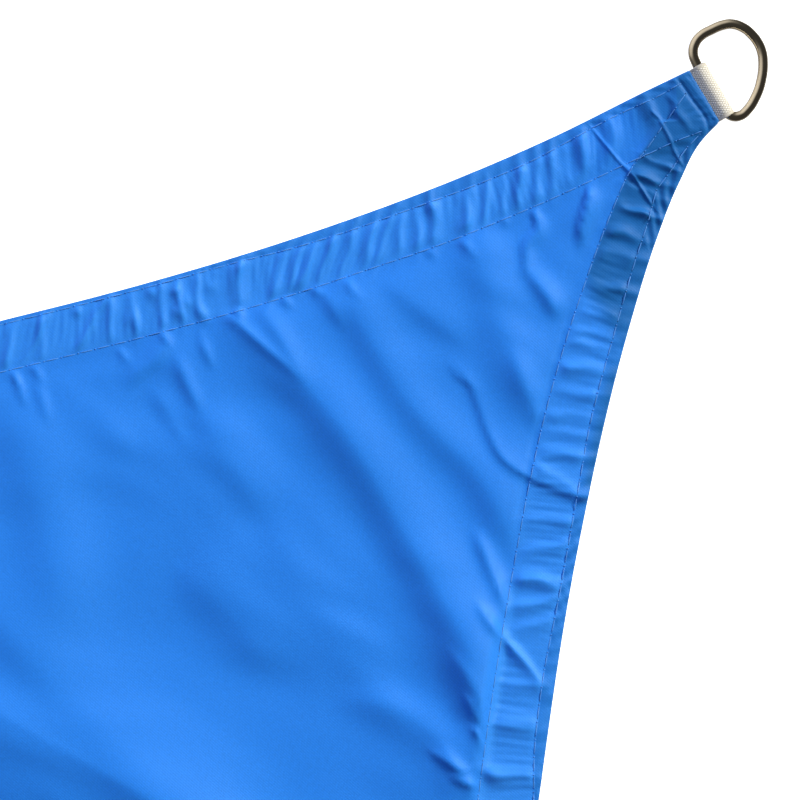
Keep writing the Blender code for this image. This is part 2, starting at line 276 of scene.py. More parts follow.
# Soft folds at the photographed corner, by their crests, in millimetres. toward and away are the widths of a
# crest's flanks, toward the key light and away from it, and crisp is how sharp it is. The points are along
# and down from the middle of the corner's end, with the share of the rise that each has.
FOLDS = (
    # toward, away, rise, crisp, points
    (30, 19, 4.8, 0.12, (
        (203, 72, 0.25), (193, 83, 0.4), (179, 98, 0.6), (162, 118, 0.85), (149, 139, 1), (138, 162, 1),
        (128, 183, 1), (118, 204, 1.12), (111, 222, 1.25), (107, 241, 1.15), (107, 266, 0.65))),
    (5, 5, 1.3, 0.5, ((203, 75, 0.5), (196, 81, 1), (187, 90, 0.9), (177, 100, 0.5), (170, 109, 0))),
    (5, 8, 1, 0.3, ((123, 215, 0), (115, 227, 0.8), (110, 238, 1), (108, 249, 0.8), (107, 259, 0))),
    (9, 7, 1.3, 0.3, ((186, 77, 0.6), (180, 87, 0.9), (174, 99, 0.6), (167, 112, 0))),
    (20, 15, 2.8, 0.1, (
        (153, 69, 0.4), (146, 83, 0.7), (137, 102, 1), (127, 119, 1), (117, 132, 0.95), (105, 145, 1),
        (97, 159, 0.95), (91, 174, 0.6), (86, 188, 0))),
    (8, 6, 1.2, 0.3, ((163, 68, 0.5), (158, 76, 0.8), (153, 88, 0))),
    (20, 17, 2.4, 0.05, ((105, 45, 0.3), (96, 62, 0.9), (90, 83, 1), (84, 105, 0.9), (81, 132, 0))),
    (15, 9, 1.1, 0, ((142, 62, 0), (127, 74, 0.8), (114, 85, 0.9), (101, 98, 0))),
    (9, 7, 1.1, 0.2, ((87, 94, 0), (83, 109, 0.9), (79, 121, 1), (77, 136, 0))),
    (5, 3, 0.6, 0.4, ((113, 99, 0), (109, 107, 0.8), (104, 111, 0.6), (99, 117, 0))),
    (6, 3, 1.9, 0.4, ((73, 44, 0.4), (72, 50, 0.9), (77, 56, 1), (78, 63, 0.7), (80, 71, 0))),
    (9, 6, 2, 0.2, ((79, 63, 0), (74, 71, 0.8), (69, 79, 1), (65, 89, 0))),
    (7, 2.8, 2.5, 0.4, ((50, 33, 0.4), (51, 41, 1), (54, 50, 0.9), (56, 63, 0))),
    (6, 5, 1.7, 0.2, ((107, 168, 0), (103, 180, 0.9), (99, 192, 1), (95, 203, 0.8), (92, 212, 0))),
    (4, 4, 1.3, 0.2, ((107, 201, 0.3), (103, 208, 1), (98, 216, 0.8), (95, 222, 0))),
    (8, 4, 1.1, 0.2, ((225, 84, 0.2), (231, 92, 0.9), (238, 97, 0.9), (247, 105, 0))),
    (6, 5, 1.2, 0.2, ((223, 89, 0), (221, 99, 0.9), (218, 107, 0.9), (214, 117, 0))),
    (4, 3, 1, 0.2, ((213, 83, 0.3), (211, 91, 0.8), (208, 100, 0))),
    (8, 7, 0.9, 0.1, ((235, 101, 0), (230, 111, 0.8), (226, 119, 0.8), (220, 131, 0))),
    (3, 3, 0.8, 0.2, ((290, 94, 0.3), (288, 101, 0.9), (286, 110, 0))),
    (4, 4, 0.8, 0.2, ((281, 98, 0.3), (279, 106, 0.9), (277, 118, 0))),
    (12, 14, 0.9, 0, ((275, 96, 0), (264, 106, 0.7), (252, 118, 1), (242, 136, 0))),
    (24, 20, 2.8, 0.1, ((222, 98, 0), (214, 117, 0.6), (206, 132, 1), (198, 146, 0.8), (193, 165, 0))),
    (38, 20, 2, 0.1, ((231, 173, 0), (218, 186, 0.8), (208, 198, 1), (199, 209, 0.8), (190, 231, 0))),
    (30, 26, 3.2, 0, ((293, 97, 0), (287, 122, 0.8), (281, 147, 1), (277, 172, 0.9), (271, 209, 0))),
    (44, 32, 4.4, 0, (
        (318, 181, 0.9), (299, 199, 1), (280, 221, 1), (262, 240, 0.95), (243, 258, 0.8), (222, 278, 0.5))),
    (30, 60, 6, 0.5, (
        (329, 222, 1), (305, 234, 1), (276, 253, 1), (246, 273, 1), (219, 295, 0.9), (189, 330, 0.5))),
    (14, 17, 2.3, 0.1, (
        (172, 237, 0), (153, 239, 0.7), (137, 246, 1), (126, 258, 1), (121, 271, 0.9), (116, 286, 0.6))),
    (3, 3, 1, 0.4, ((116, 236, 0), (112.5, 243, 1), (110, 251, 0))),
    (3, 3, 1.1, 0.4, ((114, 249, 0), (110, 256, 1), (109, 264, 0))),
    (5, 3, 1.2, 0.3, ((133, 258, 0), (125, 264, 1), (119, 268, 0.8), (113, 269, 0))),
    (4, 3, 1.1, 0.3, ((125, 270, 0), (117, 274, 1), (110, 277, 0.3))),
    (5, 6, 1.1, 0.2, ((128, 253, 0), (121, 266, 0.8), (115, 275, 1), (112, 285, 0.8))),
    (30, 26, 1.2, 0, ((196, 140, 0), (183, 166, 0.8), (172, 191, 1), (158, 217, 0.8), (142, 247, 0))),
)
# Folds and creases that cross the hems as well: the long fold that ends at the right edge, the soft swellings
# of the corner's layers, and the sharp creases from the packing.
THROUGH_FOLDS = (
    # toward, away, rise, crisp, points
    (14, 3.6, 1.5, 0.6, (
        (112, 97, 0), (105, 109, 0.5), (101, 120, 0.7), (98, 131, 0.8), (93, 142, 1), (85, 149, 1),
        (76, 154, 1), (66, 159, 1), (58, 161, 0.8))),
    (5, 7, 1.5, 0, ((43, 4, 0.4), (39, 10, 1), (39, 17, 1), (43, 26, 0.3))),
    (4, 6, 1.3, 0, ((26, -3, 0.3), (23, 3, 1), (21, 8, 0.6))),
    (6, 5, 1, 0, ((55, 9, 0.3), (52, 15, 1), (51, 24, 0.6))),
    (1.3, 1.2, 0.62, 0.6, (
        (48, 8.6, 0.5), (43.9, 14.5, 0.9), (40.6, 19.1, 1), (37.2, 23.8, 1), (33.8, 28, 1), (29.8, 33.4, 1),
        (24.8, 42.8, 0.7))),
    (1, 0.9, 0.4, 0.6, (
        (36, 24.5, 0), (33.2, 27.4, 0.8), (30.4, 32.5, 1), (26.6, 39.5, 1), (22.6, 46, 0.5))),
    (1.3, 1.2, 0.66, 0.6, (
        (22.8, 3.2, 0.1), (21.7, 5.4, 0.8), (19.6, 7.7, 1), (18, 11.1, 0.9), (15.5, 16.8, 1),
        (14, 21.7, 0.9), (12.4, 25.1, 1), (10, 29.5, 0.6))),
    (1.5, 1.5, -0.75, 0.3, (
        (11.3, -8.4, 0.7), (8.3, -3.7, 1), (5.6, 1.1, 1), (3.6, 4.1, 0.9), (0.6, 9, 1), (-0.4, 13.8, 0.7))),
    (1.6, 1.6, 0.3, 0.2, ((8.4, -9.4, 0.7), (5.4, -4.9, 1), (2.7, -0.3, 1), (-2.3, 7, 0.7))),
    (3.2, 2.6, 0.7, 0.1, ((14, 2, 0), (12, 6, 0.9), (9, 10, 1), (7, 14, 0.3))),
    (2.6, 2.2, 0.5, 0.1, ((16, -3, 0), (14.5, 0, 1), (12, 3, 0.6))),
    (1.3, 1.1, 0.34, 0.5, ((47, 10.8, 0.4), (47.1, 19, 1), (47.4, 29.2, 0.2))),
)


def crest_line(points, steps=6):
    """A smooth line through rows of a fold's points, each with its share of the rise."""
    rows = np.array(points, float)
    padded = np.vstack([2 * rows[0] - rows[1], rows, 2 * rows[-1] - rows[-2]])
    line = [rows[0]]
    for index in range(1, len(rows)):
        before, start, end, after = padded[index - 1 : index + 3]
        for step in range(1, steps + 1):
            line.append(joined(start, (end - before) / 2, end, (after - start) / 2, step / steps))
    return np.array(line)


def ridge(here, points, toward, away, crisp):
    """The height share of a ridge at places along and down, in millimetres."""
    line = crest_line(points)
    reach = 1.65 * max(toward, away)
    low = line[:, :2].min(axis=0) - reach
    high = line[:, :2].max(axis=0) + reach
    near = np.all((here > low) & (here < high), axis=1)
    spots = here[near]
    best = np.full(len(spots), 1e9)
    share, side = np.zeros((2, len(spots)))
    for start, end in zip(line, line[1:]):
        run = (end - start)[:2]
        length = np.hypot(*run)
        offset = spots - start[:2]
        t = np.clip(offset @ run / length**2, 0, 1)
        away_from = offset - t[:, None] * run
        distance = np.hypot(away_from[:, 0], away_from[:, 1])
        closer = distance < best
        best[closer] = distance[closer]
        share[closer] = (start[2] + (end[2] - start[2]) * t)[closer]
        side[closer] = ((run[0] * offset[:, 1] - run[1] * offset[:, 0]) / length)[closer]
    chord = (line[-1] - line[0])[:2]
    if chord[0] - chord[1] < 0:
        side = -side
    share = np.where(share < 1, soft_step(share), share)
    turn = soft_step(0.5 + 0.5 * np.clip(side / np.maximum(best, 1e-6), -1, 1))
    width = (toward + (away - toward) * turn) * (0.75 + 0.25 * np.clip(share, 0, 1.3))
    x = best / width
    run_out = soft_step((1.5 - x) / 0.4)
    soft = np.exp(-((1.7 * x) ** 2)) * run_out
    sharp = np.exp(0.2 - np.sqrt((2.6 * x) ** 2 + 0.04)) * run_out
    result = np.zeros(len(here))
    result[near] = share * (crisp * sharp + (1 - crisp) * soft)
    return result


# Broad folds of the rest of the sheet, from one point to another with a bow, which the solid has too.
BROAD_FOLDS = (
    # corner, along_0, down_0, along_1, down_1, bow, outer, inner, rise
    (1, 420, 160, 330, 560, 40, 60, 80, 6),
    (1, 150, 400, 520, 760, 50, 90, 70, 7),
    (1, 620, 250, 800, 700, -50, 80, 90, 6),
    (2, 90, 45, 190, 180, 8, 26, 20, 3.5),
    (2, 150, 60, 420, 260, -14, 50, 40, 4.5),
    (2, 110, 130, 280, 420, 22, 38, 45, 5),
    (2, 420, 180, 700, 620, -40, 95, 80, 6.5),
    (3, 80, 50, 230, 150, -8, 30, 24, 3.5),
    (3, 120, 110, 330, 360, 14, 40, 40, 5),
    (3, 90, 170, 160, 430, -12, 44, 34, 4),
    (3, 380, 260, 760, 480, 36, 80, 90, 6.5),
    (4, 100, 60, 260, 130, 8, 30, 26, 3.5),
    (4, 130, 120, 390, 330, -18, 36, 44, 5),
    (4, 90, 200, 190, 520, 16, 48, 40, 4.5),
    (4, 520, 200, 640, 640, 30, 100, 90, 6),
)
BOW_SHARES = ((0, 0), (0.2, 0.6), (0.4, 1), (0.6, 1), (0.8, 0.6), (1, 0))


def broad_height(points):
    """The broad folds' height, in millimetres."""
    height = np.zeros(len(points))
    for corner, along_0, down_0, along_1, down_1, bow, outer, inner, rise in BROAD_FOLDS:
        here = np.stack(side_coordinates(corner, points), axis=-1) / MM
        start = np.array((along_0, down_0))
        run = np.array((along_1, down_1)) - start
        aside = np.array((run[1], -run[0])) / np.hypot(*run)
        crest = [(*(start + run * t + aside * 4 * bow * t * (1 - t)), share) for t, share in BOW_SHARES]
        height += rise * ridge(here, crest, outer, inner, 0.1)
    return height


# The slight waves that a folded cloth keeps all over, as long waves that bend and cross, in millimetres.
WAVES = (
    # length, heading, phase, rise
    (118, 62, 40, 0.55),
    (83, -28, 150, 0.35),
    (61, 38, 250, 0.22),
    (47, 97, 10, 0.16),
    (33, 22, 80, 0.09),
    (26, 71, 200, 0.07),
    (19, 48, 120, 0.035),
)
FINE_WAVE = 50
NEAR_FOLDS = 420


def waves(here):
    """The waves' height at places along and down; the short ones only near the photographed corner."""
    x, y = here[:, 0], here[:, 1]
    bend = 9 * np.sin(math.tau * (x * 0.8 + y * 0.6) / 137 + 1)
    bend += 6 * np.sin(math.tau * (x * 0.3 - y * 0.9) / 89)
    fine = soft_step((NEAR_FOLDS - np.maximum(x, y)) / 60)
    height = np.zeros(len(here))
    calm = 0.45 + 0.55 * np.sin(x / 131 + 1.3 * np.sin(y / 173)) * np.sin(y / 109 + 1.7 * np.sin(x / 211))
    calm = fine + (1 - fine) * np.abs(calm)
    for length, heading, phase, rise in WAVES:
        across = x * math.cos(math.radians(heading)) + y * math.sin(math.radians(heading))
        share = fine if length < FINE_WAVE else 1
        height += calm * share * rise * np.sin(math.tau * (across + bend) / length + math.radians(phase))
    return height


# Puckers of the two photographed hems: each is a ridge across the hem between its places along the outer and
# the inner row of stitches, measured from the photographed corner.
TOP_PUCKERS = (
    # outer, inner, toward, away, rise
    (52.2, 61.1, 4.4, 3, 0.6), (61.5, 65.3, 3, 2.2, 0.4), (66.5, 72.2, 4.2, 1.6, 0.8),
    (72.5, 79.4, 4.2, 1.8, 0.8), (79.6, 86.3, 4.6, 2.2, 0.8), (86.5, 92.5, 1.8, 2, 0.3),
    (92.8, 100.6, 2, 1.6, 0.45), (100.1, 107.7, 4.4, 3.6, 0.9), (115.8, 121.2, 5.6, 2.2, 1),
    (122.1, 127.8, 3, 2.2, 0.55), (128.5, 136, 2.4, 2.6, 0.4), (132.5, 146, 3.8, 1.6, 0.7),
    (139.5, 150, 2.4, 2.8, 0.6), (148.5, 159, 3.4, 2.2, 0.65), (156.5, 168.5, 3.6, 1.8, 0.7),
    (163.5, 177, 4.2, 2.4, 0.7), (169.5, 182, 2.8, 2, 0.5), (176.5, 188.5, 4.2, 2, 0.75),
    (195, 201.3, 6, 3, 1), (213, 217, 2.4, 1.8, 0.4), (221, 224, 2, 1.8, 0.5),
    (228, 233.5, 6, 1.2, 0.7), (240, 243, 2.4, 2, 0.4), (249, 253.5, 4, 2.4, 0.5),
    (251, 268, 3, 2.2, 0.5), (277, 282, 3, 2.4, 0.5), (274, 290, 2, 1.6, 0.35),
    (289, 297, 3, 2, 0.5),
)
RIGHT_PUCKERS = (
    # outer, inner, toward, away, rise
    (31.2, 31.5, 2, 1.2, 0.6), (37.8, 38, 4, 1.2, 0.9), (42.3, 42.5, 1.8, 1.5, 0.4),
    (49.8, 50.3, 2.4, 1.6, 0.9), (59.5, 60, 5, 1.8, 0.8), (66.8, 67.5, 3.6, 4, 0.9),
    (79.8, 81, 4, 1.8, 0.7), (90.5, 92, 5, 2, 0.4), (97, 99.5, 3.4, 3, 0.5),
    (103, 104.5, 3, 1.8, 0.4), (111.5, 113, 4, 3, 0.7), (121, 124, 4, 2.4, 0.55),
    (130, 132, 3.4, 3, 0.5), (137, 139, 2.4, 2.6, 0.3), (145, 147.5, 5, 2.2, 0.6),
    (160, 152, 4, 3, 0.5), (170.5, 174.5, 4, 3.4, 0.7), (180.5, 187, 3.4, 4, 0.5),
    (196.5, 198, 6, 2.8, 0.9), (202, 210, 3.6, 3, 0.6), (210.5, 220, 3.6, 3.4, 0.4),
    (237, 219.5, 5, 3.4, 0.9), (238, 239, 5, 3, 0.4), (254, 256, 8, 4, 0.7),
    (275, 274.5, 7, 3.4, 1.2),
)
# Puckers of the rest of the hems, as uneven as the photographed ones: each column is taken in turn.
PUCKER_SPACING = (8, 6, 10, 9, 14, 5, 7, 19, 8, 12, 6)
PUCKER_SLANT = (1, 4, 7, 10, 5, -3, 8, 2, 0)
PUCKER_WIDTH = (3.4, 2.6, 5.0, 3.8, 2.2, 6.0, 3.0)
PUCKER_RISE = (0.7, 0.4, 0.9, 0.6, 0.5, 0.8, 1.0, 0.5)
SIDE_GAIN = (3.0, 2.6, 2.6, 2.6)
FINE_RISE = 0.045
# How much the cloth between the outer row and the edge is pulled in at each stitch, on each side.
EDGE_PULL = (0.16, 0.2, 0.2, 0.36)
PULL_PITCH = 6.9
# The stretches, along their sides, of the top hem's slanting wrinkles and of the right hem's groove.
SLANTED = (122, 194)
GROOVE = (85, 190)
GROOVE_DEPTH = 0.45
# Short folds that run from the top hem's inner row into the field.
STREAKS = (
    # along, inner_end, field_end, rise
    (82, 23, 33, 0.4), (93, 22, 28, 0.3), (111, 23, 36, 0.45), (124, 22, 29, 0.3),
    (158, 22, 35, 0.4), (171, 21, 28, 0.35), (183, 21, 29, 0.45), (202, 20, 27, 0.5),
    (233, 20, 31, 0.45), (251, 22, 33, 0.4), (286, 20, 33, 0.4), (295, 20, 32, 0.4),
)
STREAK_GAIN = 1.9
DENT_GAIN = 2.1
# Dents of the crumpled stretch of the top hem.
DENTS = (
    # along, from_edge, length, width, rise
    (220, 12, 2.2, 3.4, 0.55), (215, 19, 1.8, 3, 0.45), (225, 15, 2, 2.4, 0.45),
    (223, 6.4, 2.2, 1.8, 0.5), (232.5, 4.4, 2, 2.6, 0.5), (263, 4, 2.2, 2.2, 0.45),
    (209, 9, 2.4, 2.4, 0.3), (243, 13, 2.6, 3.2, 0.3),
)


def pucker_rows(first):
    """Puckers from a place along a side to its far end."""
    rows, outer = [], first
    while outer < CORNER_PITCH / MM - 40:
        index = len(rows)
        width = PUCKER_WIDTH[index % len(PUCKER_WIDTH)]
        inner = outer + PUCKER_SLANT[index % len(PUCKER_SLANT)]
        rows.append((outer, inner, width, width * 0.6, PUCKER_RISE[index % len(PUCKER_RISE)]))
        outer += PUCKER_SPACING[index % len(PUCKER_SPACING)]
    return rows


SIDE_PUCKERS = (
    (*TOP_PUCKERS, *pucker_rows(305)),
    pucker_rows(40),
    pucker_rows(46),
    (*RIGHT_PUCKERS, *pucker_rows(288)),
)


def hem_height(number, along, distance):
    """Puckers and small wrinkles of one side's hem, in millimetres."""
    past_outer = (distance - smooth_value(OUTER_ROW, along)) / MM
    past_inner = (distance - smooth_value(INNER_ROW, along)) / MM
    along, distance = along / MM, distance / MM
    place = CORNER_PITCH / MM - along if number == CORNERS else along
    height = np.zeros(len(along))
    if number == CORNERS:
        stretch = soft_step((place - GROOVE[0]) / 20) * soft_step((GROOVE[1] - place) / 30)
        height -= GROOVE_DEPTH * stretch * np.exp(-(((past_inner - 1.9) / 1.1) ** 2))
    if number == 1:
        for centre, inner_end, field_end, rise in STREAKS:
            x = (along - centre + 0.25 * (distance - inner_end)) / 1.9
            y = np.clip((distance - inner_end) / (field_end - inner_end), 0, 1)
            height += STREAK_GAIN * rise * np.exp(-(x**2)) * np.sin(math.pi * y**0.6) ** 2
        for centre, from_edge, length, width, rise in DENTS:
            x = (along - centre) / length
            y = (distance - from_edge) / width
            height += DENT_GAIN * rise * np.exp(-(x**2) - y**2)
    near = (past_inner < 8) & (distance > -1)
    place, past_outer, past_inner = place[near], past_outer[near], past_inner[near]
    share = np.clip(past_outer / (past_outer - past_inner), -0.3, 1.3)
    strength = 0.15 * soft_step((6 - past_inner) / 5) + 0.85 * soft_step((0.8 - past_inner) / 5.5)
    strength *= 0.45 + 0.55 * soft_step((past_outer + 1.5) / 4)
    if number != CORNERS:
        strength *= soft_step((place - 26) / 8)
    found = np.zeros(len(place))
    for outer, inner, toward, away, rise in SIDE_PUCKERS[number - 1]:
        x = place - outer - (inner - outer) * share - 0.09 * toward * np.sin(4.1 * share + outer)
        x -= 0.35 * np.sin(7.7 * share + 1.7 * outer)
        x /= np.where(x > 0, 0.5 + 1.0 * away, 0.5 + 0.42 * toward)
        uneven = 0.72 + 0.28 * np.sin(3.6 * share + 2.3 * outer)
        crisp = np.exp(0.17 - np.sqrt((1.6 * x) ** 2 + 0.03))
        found += rise * uneven * (0.35 * crisp + 0.65 * np.exp(-(x**2)))
    slanted = soft_step((place - SLANTED[0]) / 15) * soft_step((SLANTED[1] - place) / 12)
    lean = share * ((5.5 + 6.5 * slanted if number == 1 else 1.0) + 2.5 * np.sin(place / 21 + 0.4))
    first = np.sin(math.tau * (place - lean) / 3.3 + 1.4 * np.sin(place / 7.1 + 2.2 * share))
    second = np.sin(math.tau * (place - 0.6 * lean) / 5.2 + 1.8 * np.sin(place / 11.3 - 1.6 * share))
    patches = 0.55 + 0.45 * np.sin(place / 13.7 + 3.1 * share)
    found = SIDE_GAIN[number - 1] * (found + FINE_RISE * (first + 0.8 * second) * patches)
    pulled = np.sin(math.tau * (place + 1.5 * past_outer) / PULL_PITCH + 1.2 * np.sin(place / 17))
    pulled *= 0.65 + 0.35 * np.sin(place / 23)
    height[near] += found * strength + EDGE_PULL[number - 1] * pulled * soft_step((1.2 - past_outer) / 2.5)
    return height


FIELD_LIFT = 1.2
LOWEST = 0.9
END_CROWN = 0.0006
ROW_SUNK = 0.14
ROW_WIDTH = 0.0012


def surface_height(points):
    """Height of the cloth's top face, in metres, from its layers, folds, waves and hems."""
    here = np.stack(side_coordinates(1, points), axis=-1) / MM
    places, distances = edge_distances(points)
    field, layers, lift = np.ones((3, len(points)))
    height, rise = np.zeros((2, len(points)))
    for number, along, distance in zip(SIDES, places, distances):
        inner_row = smooth_value(INNER_ROW, along)
        outer_row = smooth_value(OUTER_ROW, along)
        field *= soft_step((distance - inner_row + 0.004) / 0.009)
        lift *= soft_step((distance - inner_row + 0.003) / 0.016)
        layers += soft_step((inner_row + 0.0036 - distance) / 0.0046)
        height += hem_height(number, along, distance)
        from_corner = np.minimum(along, CORNER_PITCH - along)
        sunk = ROW_SUNK * soft_step((from_corner - 0.026) / 0.01)
        for row in (outer_row, inner_row):
            height -= sunk * np.exp(-(((distance - row) / ROW_WIDTH) ** 2))
        rise = np.maximum(rise, soft_step(1 + beyond_end(number, points) / END_RISE_LENGTH))
    height += broad_height(points) * field + waves(here) * (0.25 + 0.75 * field)
    near = np.all(here < NEAR_FOLDS, axis=1)
    spots = here[near]
    fold = np.zeros(len(spots))
    for folds, share in ((FOLDS, field[near]), (THROUGH_FOLDS, 1)):
        for toward, away, fold_rise, crisp, crest in folds:
            fold += fold_rise * share * ridge(spots, crest, toward, away, crisp)
    height[near] += fold
    from_photo = np.maximum(here[:, 0], here[:, 1])
    thin_hem = soft_step((380 - from_photo) / 40) * soft_step((from_photo - 10) / 50)
    layer_rise = CLOTH_THICKNESS / MM * (1 + (layers - 1) * (1 - 0.7 * thin_hem))
    above = height + layer_rise + FIELD_LIFT * lift - LOWEST
    settled = LOWEST + (above + np.sqrt(above**2 + 0.09)) / 2
    return settled * MM + (LOOP_OUTER - END_THICKNESS / 2 + END_CROWN) * rise


# The net's cells, and how far the fine ones reach from the photographed corner and from the other ones.
TURN_RADIUS = 0.0007
END_STEPS = 24
NEAR_CELL = 0.00095
NEAR_REACH = 0.335
FAR_CELL = 0.0052
CORNER_CELL = 0.002
CORNER_REACH = 0.05
FIELD_CELL = 0.0016
FIELD_LEVELS = 4
FIELD_GAP = 0.008
LATTICE_CELL = 0.00062
LATTICE_REACH = 0.052
BORDER_GAP = 0.0004


def stations(number):
    """Places along a side for the rows of points that follow its hem."""
    first, last = EDGE_KNOTS[0, 0], EDGE_KNOTS[-1, 0]
    found = [first]
    while found[-1] < last:
        along = found[-1]
        spacing = FAR_CELL
        for distance, photographed in ((along, number == 1), (CORNER_PITCH - along, number == CORNERS)):
            cell, reach = (NEAR_CELL, NEAR_REACH) if photographed else (CORNER_CELL, CORNER_REACH)
            spacing = min(spacing, cell + 0.04 * max(0, distance - reach))
        found.append(along + spacing)
    found = np.array(found)
    return first + (found - first) * (last - first) / (found[-1] - first)


end_share = np.linspace(-1, 1, END_STEPS + 1)
end_middle = np.array((HALF_PITCH,) * 2) - END_OUTWARD * TURN_RADIUS
end_line = end_middle + end_share[:, None] * (END_LEFT * (END_WIDTH / 2 - TURN_RADIUS))
border_parts, hem_parts = [], []
for number in SIDES:
    along = stations(number)
    border_parts.append(side_points(number, along[1:-1], TURN_RADIUS))
    border_parts.append(turned(end_line, number % CORNERS))
    outer_row = smooth_value(OUTER_ROW, along)
    inner_row = smooth_value(INNER_ROW, along)
    if number == 1:
        fine = along < NEAR_REACH + 0.02
    elif number == CORNERS:
        fine = along > CORNER_PITCH - NEAR_REACH - 0.02
    else:
        fine = np.zeros(len(along), bool)
    rows = [outer_row, *(inner_row + shift * MM for shift in (0, 1.2, 3.4, 6.0))]
    rows += [outer_row + (inner_row - outer_row) * share for share in (0.2, 0.4, 0.6, 0.8)]
    fine_rows = [outer_row + shift * MM for shift in (-0.8, 0, 0.8)]
    fine_rows += [inner_row + shift * MM for shift in (-0.8, 0, 0.8, 1.8, 2.9, 4.1, 5.3)]
    inner_reach = inner_row - outer_row - 0.0016
    fine_rows += [outer_row + 0.0008 + inner_reach * step / 14 for step in range(1, 14)]
    for chosen, chosen_rows in ((~fine, rows), (fine, fine_rows)):
        for row in chosen_rows:
            hem_parts.append(side_points(number, along[chosen], row[chosen]))
border = np.vstack(border_parts)

hem = np.vstack(hem_parts)
hem = hem[beyond_end(1, hem) < -LATTICE_REACH]
lattice_steps = np.arange(-0.09, 0.02, LATTICE_CELL)
lattice = np.stack(np.meshgrid(lattice_steps, lattice_steps), axis=-1).reshape(-1, 2) + HALF_PITCH
lattice = lattice[beyond_end(1, lattice) > -LATTICE_REACH]
hem = np.vstack([hem, lattice])
places, distances = edge_distances(hem)
order = np.sort(distances, axis=0)
own_side = (order[1] - order[0] > 0.0002) | (beyond_end(1, hem) > -LATTICE_REACH)
keep = own_side & (order[0] > TURN_RADIUS + BORDER_GAP)
for number in SIDES:
    keep &= beyond_end(number, hem) < -TURN_RADIUS - BORDER_GAP
hem = hem[keep]

field_parts = []
view_middle = np.array(VIEW_CENTRE[:2])
view_reach = 0.5 * VIEW_WIDTH + 0.012
for level in range(FIELD_LEVELS):
    cell = FIELD_CELL * 2**level
    steps = np.arange(-HALF_PITCH, HALF_PITCH, cell)
    if level < 3:
        steps = steps[steps > HALF_PITCH - 0.45]
    grid = np.stack(np.meshgrid(steps, steps), axis=-1).reshape(-1, 2)
    beyond = np.abs(grid - view_middle).max(axis=1) - view_reach
    inner_limit = FIELD_GAP * 2 ** (level - 1) - FIELD_GAP + cell / 2 if level else -1
    outer_limit = FIELD_GAP * 2**level - FIELD_GAP if level < FIELD_LEVELS - 1 else 9
    chosen = (beyond >= inner_limit) & (beyond < outer_limit)
    chosen &= beyond_end(1, grid) < -LATTICE_REACH - cell * 0.4
    grid = grid[chosen]
    places, distances = edge_distances(grid)
    limit = smooth_value(INNER_ROW, places[distances.argmin(axis=0), np.arange(len(grid))]) + 0.0058
    field_parts.append(grid[distances.min(axis=0) > limit + cell * 0.45])
points = np.vstack([border, hem, *field_parts])
border_edges = [(index, (index + 1) % len(border)) for index in range(len(border))]
# The net keeps what lies inside the border, which is what its 1 asks for.
flat, _, faces, _, _, _ = delaunay_2d_cdt([Vector(point) for point in points], border_edges, [], 1, 1e-7)
flat = np.array([tuple(point) for point in flat])

mesh = bpy.data.meshes.new("sail_cloth_sheet")
mesh.from_pydata(np.column_stack([flat, surface_height(flat)]).tolist(), [], faces)
shape = bmesh.new()
shape.from_mesh(mesh)
rim = [edge for edge in shape.edges if len(edge.link_faces) == 1]
rim_verts = list({vert for edge in rim for vert in edge.verts})
push = []
for vert in rim_verts:
    pull = Vector((0, 0))
    for edge in vert.link_edges:
        if len(edge.link_faces) == 1:
            run = (edge.other_vert(vert).co - vert.co).to_2d().normalized()
            face = edge.link_faces[0]
            side = face.calc_center_median().to_2d() - vert.co.to_2d()
            square = Vector((-run.y, run.x))
            pull += -square if square.dot(side) > 0 else square
    push.append(tuple(pull.normalized()))
# The turned edge: half a round at the rim, then the layer under the hem, never lower than the floor.
HEM_ROUND = 0.0007
END_ROUND = 0.00175
ROUND_CHANGE = 0.015
ROUND_STEPS = 4
UNDER_ROWS = (0.009, 0.017, 0.024)
ABOVE_FLOOR = 0.0004
base = np.array([tuple(vert.co) for vert in rim_verts])
push = np.array(push)
at_end = np.zeros(len(base))
for number in SIDES:
    at_end = np.maximum(at_end, soft_step(1 + beyond_end(number, base[:, :2]) / ROUND_CHANGE))
drop = HEM_ROUND + (END_ROUND - HEM_ROUND) * at_end
places, distances = edge_distances(base[:, :2])
order = np.sort(distances, axis=0)
depth_limit = np.clip(order[1] * 0.42, 0.0015, UNDER_ROWS[-1])
turned_rows = []
for step in range(1, ROUND_STEPS + 1):
    angle = math.pi * step / ROUND_STEPS
    heights = base[:, 2] - drop * (1 - math.cos(angle))
    turned_rows.append((base[:, :2] + push * HEM_ROUND * math.sin(angle), heights))
for reach in UNDER_ROWS:
    spots = base[:, :2] - push * (reach / UNDER_ROWS[-1] * depth_limit)[:, None]
    turned_rows.append((spots, surface_height(spots) - 2 * drop))
current = {vert: vert for vert in rim_verts}
edges = rim
for spots, heights in turned_rows:
    made = bmesh.ops.extrude_edge_only(shape, edges=edges)
    new_verts = {item for item in made["geom"] if isinstance(item, bmesh.types.BMVert)}
    following = {}
    for source, old in current.items():
        for edge in old.link_edges:
            other = edge.other_vert(old)
            if other in new_verts:
                following[source] = other
    for index, source in enumerate(rim_verts):
        following[source].co = (*spots[index], max(heights[index], ABOVE_FLOOR))
    current = following
    made_edges = [item for item in made["geom"] if isinstance(item, bmesh.types.BMEdge)]
    edges = [edge for edge in made_edges if new_verts.issuperset(edge.verts)]
bmesh.ops.recalc_face_normals(shape, faces=shape.faces)
shape.faces.ensure_lookup_table()
top_face = max(shape.faces, key=lambda face: face.calc_center_median().z)
if top_face.normal.z < 0:
    bmesh.ops.reverse_faces(shape, faces=shape.faces)
shape.to_mesh(mesh)
shape.free()
mesh.shade_smooth()
sail = bpy.data.objects.new("sail_cloth_sheet", mesh)
scene.collection.objects.link(sail)

